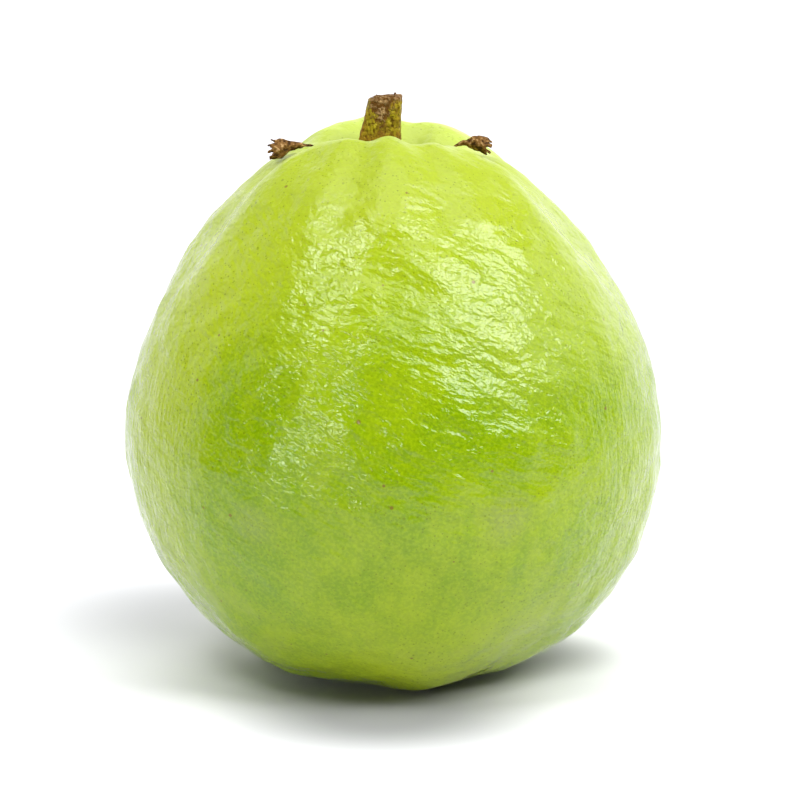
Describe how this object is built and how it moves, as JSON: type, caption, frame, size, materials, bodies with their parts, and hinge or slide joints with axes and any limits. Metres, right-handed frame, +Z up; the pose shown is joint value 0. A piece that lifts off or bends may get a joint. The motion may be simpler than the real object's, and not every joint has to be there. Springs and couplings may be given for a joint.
{
  "type": "guava fruit",
  "caption": "Whole green guava standing on its blossom end, with its cut stem, dried side buds in the stem hollow and a dried calyx under it.",
  "frame": {"origin": "middle of the outline seen from above, on the surface that the fruit stands on", "axes": "+Z up along the fruit towards the stem, -Y towards the side that the picture shows, +X to that side's right"},
  "size_m": [0.0956, 0.0956, 0.1034],
  "materials": {
    "skin": "waxy, leathery, satin gloss",
    "stem": "olive green bark, corky and brown at the cut",
    "dried": "dry, wrinkled brown"
  },
  "bodies": {
    "root": {"fruit": "skin", "stem": "stem", "bud_left": "dried", "bud_right": "dried", "calyx": "dried"}
  },
  "joints": []
}
